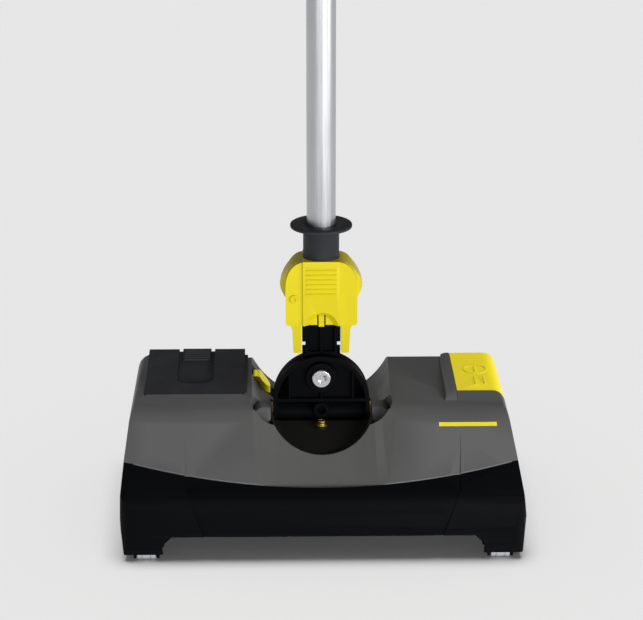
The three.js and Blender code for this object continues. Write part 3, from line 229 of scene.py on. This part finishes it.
def moulded(
    name, colour, roughness=0.42, grain=1400.0, depth=0.25, specular=0.4, wear=0.35, coat=0.0, wave=0.05,
):
    """Injection-moulded plastic: spark-eroded grain, slightly uneven tone, edges rubbed lighter."""
    s = Shading(name)
    tone = s.mix(s.spread(s.noise(9, 4), 0, 1), tinted(colour, 0.93), tinted(colour, 1.07))
    worn = s.mix(s.spread(s.edges(), 0, wear, 0, 1), tone, tinted(colour, 1.7))
    s.link(worn, s.shader.inputs["Base Color"])
    s.link(s.spread(s.noise(45, 5), roughness - 0.05, roughness + 0.07), s.shader.inputs["Roughness"])
    broad = s.bump(s.noise(30, 2), wave, 0.0004)
    s.link(s.bump(s.noise(grain, 2), depth, 0.00006, broad), s.shader.inputs["Normal"])
    s.shader.inputs["Specular IOR Level"].default_value = specular
    s.shader.inputs["Coat Weight"].default_value = coat
    return s.material


def metal(name, colour, roughness=0.3, stretch=(900, 900, 12), depth=0.12):
    """Drawn or turned metal with fine lines along one direction."""
    s = Shading(name)
    lines = s.noise(1.0, 3, s.stretched(stretch))
    tone = s.mix(s.spread(lines, 0, 1), tinted(colour, 0.9), tinted(colour, 1.06))
    cloud = s.mix(s.spread(s.noise(22, 4), 0, 0.35), tone, tinted(colour, 0.82))
    s.link(cloud, s.shader.inputs["Base Color"])
    s.link(s.spread(lines, roughness - 0.07, roughness + 0.09), s.shader.inputs["Roughness"])
    s.link(s.bump(lines, depth, 0.00004), s.shader.inputs["Normal"])
    s.shader.inputs["Metallic"].default_value = 1.0
    return s.material


def rubber(name, colour, roughness=0.75):
    s = Shading(name)
    tone = s.mix(s.spread(s.noise(30, 5), 0, 1), tinted(colour, 0.8), tinted(colour, 1.35))
    s.link(tone, s.shader.inputs["Base Color"])
    s.link(s.spread(s.noise(120, 3), roughness - 0.08, roughness + 0.1), s.shader.inputs["Roughness"])
    s.link(s.bump(s.noise(900, 3), 0.4, 0.00012), s.shader.inputs["Normal"])
    s.shader.inputs["Specular IOR Level"].default_value = 0.3
    return s.material


MATERIALS = {
    "cover_grey": moulded("cover_grey", (0.132, 0.132, 0.134), 0.45, specular=0.2),
    "body_black": moulded("body_black", (0.0032, 0.0034, 0.004), 0.5, specular=0.02, wear=0.5, wave=0.02),
    # A lighter grey for the thin strip along the seam: a painted highlight where the cover's edge catches
    # the light.
    "edge_grey": moulded("edge_grey", (0.22, 0.22, 0.22), 0.4),
    "housing_black": moulded("housing_black", (0.012, 0.012, 0.0115), 0.5, specular=0.1),
    "trim_dark": moulded("trim_dark", (0.022, 0.023, 0.027), 0.55, 1100, 0.4, specular=0.18, wave=0.01),
    "signal_yellow": moulded(
        "signal_yellow", (0.65, 0.54, 0.006), 0.4, 1700, 0.12, specular=0.22, wear=0.1, coat=0.04,
    ),
    "tube_aluminium": metal("tube_aluminium", (0.52, 0.53, 0.55), 0.34),
    "bright_steel": metal("bright_steel", (0.62, 0.62, 0.64), 0.22, (300, 300, 300)),
    "screw_brass": metal("screw_brass", (0.62, 0.44, 0.13), 0.28, (300, 300, 300)),
    "wheel_grey": moulded("wheel_grey", (0.36, 0.36, 0.39), 0.5, 900, 0.4),
    "bush_amber": moulded("bush_amber", (0.5, 0.27, 0.02), 0.35),
    "bristle_nylon": rubber("bristle_nylon", (0.022, 0.022, 0.026), 0.5),
    "soft_rubber": rubber("soft_rubber", (0.016, 0.016, 0.017)),
    "board_green": moulded("board_green", (0.015, 0.1, 0.045), 0.4),
}


# ---------------------------------------------------------------- mesh helpers
SMOOTH_LIMIT = math.radians(35)     # sharper edges than this stay sharp
BEVEL_LIMIT = math.radians(30)      # sharper edges than this are rounded
FLAT_LIMIT = math.radians(0.6)      # neighbouring faces this close to flat become one
WELD = 2e-6                         # metres
FINISH_OF = {"pivot_housing": "housing_black"}
EMBOSSED = {"lock_sleeve", "foot_switch"}       # small raised marks: their faces stay apart
# How far the edges of each moulding are rounded, in millimetres.
ROUNDED = {
    "top_cover": 0.8, "front_bumper": 0.8, "side_cover_right": 0.8, "side_cover_left": 0.8, "chassis": 0.5,
    "pivot_housing": 0.6, "trunnion_lug_right": 1.0, "trunnion_lug_left": 1.0, "release_lever": 0.8,
    "battery_pack": 0.9, "foot_switch": 0.35, "switch_ramp": 0.7, "knuckle": 0.6, "joint_post": 0.5,
    "lock_sleeve": 0.3, "end_cap": 1.0, "dust_bin": 0.8, "rear_panel": 0.6, "clamp_collar": 0.5,
    "swivel_bolt": 0.4, "swivel_nut": 0.4, "bowl_screw": 0.3, "sleeve_screw": 0.2, "brush_roller": 0.5,
}


def span_mm(node, axis):
    """The lowest and highest coordinate of a CAD node along an axis, in millimetres."""
    low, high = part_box(node)
    return low[axis] / MM, high[axis] / MM


def half_mm(node, axis):
    """Half the size of a CAD node along an axis, in millimetres."""
    low, high = span_mm(node, axis)
    return (high - low) / 2


def middle(node):
    """The centre of a CAD node's box, in metres."""
    return [(low + high) / 2 for low, high in zip(*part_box(node))]


def add_piece(name, mesh, body, slot, finish=None):
    """A new piece on a body, with the finish of a material slot or a finish of its own."""
    piece = bpy.data.objects.new(name, mesh)
    bpy.context.scene.collection.objects.link(piece)
    mesh.materials.clear()
    mesh.materials.append(MATERIALS[finish or slot])
    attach(piece, body)
    return piece


def mesh_from(bm, name):
    """Turns the working mesh into a named one, smooth but for its sharp edges."""
    bmesh.ops.recalc_face_normals(bm, faces=bm.faces)
    for face in bm.faces:
        face.smooth = True
    for edge in bm.edges:
        edge.smooth = edge.is_manifold and edge.calc_face_angle(0) < SMOOTH_LIMIT
    mesh = bpy.data.meshes.new(name)
    bm.to_mesh(mesh)
    bm.free()
    return mesh


def soften(piece, width):
    """Rounded edges on a piece, as a mould leaves them."""
    bevel = piece.modifiers.new("rounded_edges", "BEVEL")
    bevel.width = width
    bevel.segments = 2
    bevel.limit_method = "ANGLE"
    bevel.angle_limit = BEVEL_LIMIT
    bevel.use_clamp_overlap = True
    bevel.harden_normals = True
    bevel.miter_outer = "MITER_ARC"


def cad_bmesh(node, merge):
    """The CAD node's mesh, with its flat faces merged if asked."""
    bm = bmesh.new()
    bm.from_mesh(frame["nodes"][node].data)
    bmesh.ops.remove_doubles(bm, verts=bm.verts, dist=WELD)
    if merge:
        bmesh.ops.dissolve_limit(
            bm, angle_limit=FLAT_LIMIT, verts=bm.verts, edges=bm.edges, use_dissolve_boundaries=False,
        )
    return bm


def rounded_copy(node, width):
    """Stands for a CAD node with the same shape and rounded edges. Width is in millimetres."""
    mesh = mesh_from(cad_bmesh(node, node not in EMBOSSED), node + "_moulding")
    piece = add_piece(node + "_moulding", mesh, BODY_OF[node], SLOT_OF[node], FINISH_OF.get(node))
    soften(piece, width * MM)
    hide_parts(node)
    return piece


def join_rings(bm, first, second):
    """A closed band of faces between two rings with the same number of corners."""
    count = len(first)
    for k in range(count):
        bm.faces.new((first[k], first[(k + 1) % count], second[(k + 1) % count], second[k]))


def lathe(name, profile, centre, body, slot, axis="z", steps=96, replaces=()):
    """A turned piece from (radius, position) pairs in millimetres, about an axis through centre."""
    bm = bmesh.new()
    rings = []
    for radius, along in profile:
        ring = []
        for k in range(steps):
            angle = 2 * math.pi * k / steps
            across, up = radius * math.cos(angle) * MM, radius * math.sin(angle) * MM
            local = {"z": (across, up, along * MM), "x": (along * MM, across, up)}
            ring.append(bm.verts.new(Vector(local[axis]) + Vector(centre)))
        rings.append(ring)
    for first, second in zip(rings, rings[1:] + rings[:1]):
        join_rings(bm, first, second)
    bmesh.ops.remove_doubles(bm, verts=bm.verts, dist=1e-6)
    piece = add_piece(name, mesh_from(bm, name), body, slot)
    if replaces:
        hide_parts(*replaces)
    return piece


make_camera()
make_studio(make_floor())

# ---------------------------------------------------------------- every CAD node gets its finish
for node, thing in frame["nodes"].items():
    thing.data.materials.clear()
    thing.data.materials.append(MATERIALS[SLOT_OF[node]])

mouldings = {node: rounded_copy(node, width) for node, width in ROUNDED.items()}

# ---------------------------------------------------------------- turned pieces
POLE = (0, middle("lower_tube")[1], 0)
TUBE_WALL = 1.2
BORE_ROOM = 0.35        # play between a tube and the part that holds it


def turned_node(node, ending, profile, centre=POLE, axis="z", steps=96):
    """A turned piece that stands for a CAD node and is named after it."""
    lathe(node + ending, profile, centre, BODY_OF[node], SLOT_OF[node], axis, steps, [node])


def turned_tube(node):
    """A drawn tube with a small chamfer at both cut ends."""
    low_z, high_z = span_mm(node, 2)
    radius = half_mm(node, 0)
    inner, edge = radius - TUBE_WALL, 0.4
    profile = [
        (inner, low_z + edge), (inner + edge, low_z), (radius - edge, low_z), (radius, low_z + edge),
        (radius, high_z - edge), (radius - edge, high_z), (inner + edge, high_z), (inner, high_z - edge),
    ]
    turned_node(node, "_drawn", profile)


def make_collar():
    """The collar round the foot of the tube, with its flange and a small lead-in at the bore."""
    foot, top = span_mm("collar", 2)
    tube_foot = span_mm("lower_tube", 2)[0] - BORE_ROOM
    bore = half_mm("lower_tube", 0) + BORE_ROOM
    spigot = half_mm("lower_tube", 0) - TUBE_WALL
    body, flange = 17.5, half_mm("collar", 0)
    profile = [
        (spigot, foot), (body - 0.6, foot), (body, foot + 0.6),
        (body, top - 4), (body + 0.7, top - 2.4), (body + 2.5, top - 2.1),
        (flange - 1, top - 3.3), (flange - 0.2, top - 3), (flange, top - 2.4),
        (flange, top - 1), (flange - 0.3, top - 0.4), (flange - 0.9, top),
        (bore + 1.65, top), (bore + 1.05, top - 0.3), (bore, top - 1),
        (bore, tube_foot), (spigot, tube_foot),
    ]
    turned_node("collar", "_moulding", profile)


def make_grip():
    """A soft grip that swells in the middle, with fine rings for the fingers."""
    low_z, high_z = span_mm("hand_grip", 2)
    bore = half_mm("upper_tube", 0) + BORE_ROOM
    profile = [(bore, low_z), (16.2, low_z), (17.4, low_z + 2), (17.9, low_z + 4.5), (17.4, low_z + 7.5)]
    start, end = low_z + 12, high_z - 6
    rings = 22
    pitch = (end - start) / rings
    for i in range(rings):
        share = i / rings
        swell = 15.6 + 1.5 * math.sin(math.pi * share)
        groove = swell - 0.55
        z = start + (end - start) * share
        profile += [(swell, z), (swell, z + pitch * 0.6)]
        profile += [(groove, z + pitch * 0.7), (groove, z + pitch * 0.92)]
    profile += [(16.3, end + 1), (16.3, high_z - 1), (15.4, high_z), (bore, high_z)]
    turned_node("hand_grip", "_moulding", profile)


def make_wheel(node):
    """A wheel with two grooves round its tread and a recess round the axle on both sides."""
    half = half_mm(node, 0)
    radius = half_mm(node, 2)
    bore, recess, groove = 2.35, 1.4, half * 0.45
    outer = [
        (bore, -half + recess), (radius * 0.62, -half + recess),
        (radius * 0.7, -half), (radius - 0.9, -half), (radius - 0.2, -half + 0.4), (radius, -half + 1.1),
        (radius, -groove - 0.5), (radius - 0.6, -groove - 0.3),
        (radius - 0.6, -groove + 0.3), (radius, -groove + 0.5),
    ]
    profile = outer + [(r, -along) for r, along in reversed(outer)]
    turned_node(node, "_tread", profile, middle(node), "x", 72)


def make_bristles():
    """Four twisted rows of nylon tufts on the roller's sleeve."""
    node = "brush_bristles"
    axis = middle(node)
    reach = half_mm(node, 0)
    core, sleeve, tip = 14.95, 16.1, 27.7
    rows, tufts, spacing, strands = 4, 57, 5, 8
    twist = 0.6 * math.pi
    profile = [(core, -reach), (sleeve, -reach), (sleeve, reach), (core, reach)]
    lathe("bristle_sleeve", profile, axis, BODY_OF[node], SLOT_OF[node], "x", 48, [node])
    rng = random.Random(7)
    bm = bmesh.new()
    for row in range(rows):
        for k in range(tufts):
            along = -reach + 6 + k * spacing
            angle = 2 * math.pi * row / rows + twist * (along + reach) / (2 * reach)
            outward = Vector((0, math.sin(angle), -math.cos(angle)))
            side = Vector((0, math.cos(angle), math.sin(angle)))
            for _ in range(strands):
                lean_x, lean_side = rng.uniform(-1, 1), rng.uniform(-1, 1)
                root = outward * (sleeve - 0.5) + side * lean_side * 1.1
                root += Vector((along + lean_x * 1.1, 0, 0))
                length = tip * rng.uniform(0.955, 1.0)
                end = outward * length + side * lean_side * 2.4
                end += Vector((along + lean_x * 2.3, 0, 0))
                add_strand(bm, root, end, side, axis)
    add_piece("bristle_tufts", mesh_from(bm, "bristle_tufts"), BODY_OF[node], SLOT_OF[node])


def add_strand(bm, root, end, side, centre):
    """One three-sided tapering strand between two points given in millimetres from a centre."""
    across = (end - root).cross(side).normalized()
    rings = []
    for point, width in ((root, 0.42), (end, 0.3)):
        ring = []
        for k in range(3):
            angle = 2 * math.pi * k / 3
            offset = side * math.cos(angle) * width + across * math.sin(angle) * width
            ring.append(bm.verts.new((point + offset) * MM + Vector(centre)))
        rings.append(ring)
    join_rings(bm, *rings)
    bm.faces.new(rings[0])
    bm.faces.new(rings[1])


# ---------------------------------------------------------------- details on the cover, in metres
def cover_surface():
    """A function that drops a point (x, y) onto the outside of the top cover."""
    bm = bmesh.new()
    bm.from_mesh(frame["nodes"]["top_cover"].data)
    cover = BVHTree.FromBMesh(bm)
    bm.free()
    return lambda x, y: cover.ray_cast(Vector((x, y, 0.2)), Vector((0, 0, -1)))[0]


def make_stripe():
    """The plain yellow stripe on the front slope, laid on the cover's surface."""
    drop = cover_surface()
    left, width = 0.1135, 0.0562
    front, depth = -0.0372, 0.0043
    columns, rows = 28, 3
    bm = bmesh.new()
    grid = []
    for lift in (0.00022, -0.0001):
        layer = []
        for i in range(columns + 1):
            for j in range(rows + 1):
                point = drop(left + width * i / columns, front + depth * j / rows)
                layer.append(bm.verts.new(point + Vector((0, 0, lift))))
        grid.append(layer)
    step = rows + 1
    for i in range(columns):
        for j in range(rows):
            k = i * step + j
            for layer in grid:
                bm.faces.new((layer[k], layer[k + step], layer[k + step + 1], layer[k + 1]))
    rim = [i * step for i in range(columns + 1)] + [columns * step + j for j in range(1, step)]
    rim += [i * step + rows for i in range(columns - 1, -1, -1)] + [j for j in range(rows - 1, 0, -1)]
    top, bottom = grid
    for a, b in zip(rim, rim[1:] + rim[:1]):
        bm.faces.new((top[a], top[b], bottom[b], bottom[a]))
    return add_piece("slope_stripe", mesh_from(bm, "slope_stripe"), "head", "signal_yellow")


def make_painted_seam_highlight():
    """A thin light-grey strip along the cover's edge at the seam, which is a shallow curve in plan: a
    painted highlight where the edge catches the light.
    """
    drop = cover_surface()
    seam_front, seam_drop, seam_end = -0.1042, 0.03, 0.19
    reach, steps, bead = 0.178, 120, 0.00028
    bm = bmesh.new()
    rings = []
    for i in range(steps + 1):
        x = reach * (2 * i / steps - 1)
        point = drop(x, seam_front + seam_drop * (x / seam_end) ** 2)
        ring = []
        for k in range(4):
            angle = math.pi / 4 + k * math.pi / 2
            offset = Vector((0, bead * math.cos(angle), bead * math.sin(angle) - bead / 2))
            ring.append(bm.verts.new(point + offset))
        rings.append(ring)
    for first, second in zip(rings, rings[1:]):
        join_rings(bm, first, second)
    bm.faces.new(rings[0])
    bm.faces.new(rings[-1])
    add_piece("cover_edge", mesh_from(bm, "cover_edge"), "head", "cover_grey", "edge_grey")


# ---------------------------------------------------------------- underside
def make_pan_screws():
    """Countersunk screws that hold the pan to the covers, seen from below. All in millimetres."""
    profile = [(1.5, -0.1), (3.6, -0.1), (3.8, 0.1), (3.8, 0.8), (0.2, 0.8), (0.2, 0.6), (1.4, 0.6)]
    places = [(-176, 40), (176, 40), (-150, 108), (150, 108), (0, 108), (-150, -14), (150, -14)]
    seat = 11.6
    for k, (x, y) in enumerate(places):
        lathe(f"pan_screw_{k}", profile, (x * MM, y * MM, seat * MM), "head", "bright_steel", "z", 32)


# ---------------------------------------------------------------- build
turned_tube("lower_tube")
turned_tube("upper_tube")
make_collar()
make_grip()
for wheel in [node for node in frame["nodes"] if "_wheel_" in node]:
    make_wheel(wheel)
make_bristles()
# The light-grey strip along the seam is a painted highlight of the cover's edge.
make_painted_seam_highlight()
make_pan_screws()
yellow_light = make_light("yellow_light", (0.9, 0.3, 1.2), (0.08, 0.06, 0.12), (0.6, 0.6), 19)
yellow_pieces = [mouldings["foot_switch"], mouldings["release_lever"], make_stripe()]
aim_only(yellow_light, yellow_pieces, "INCLUDE")
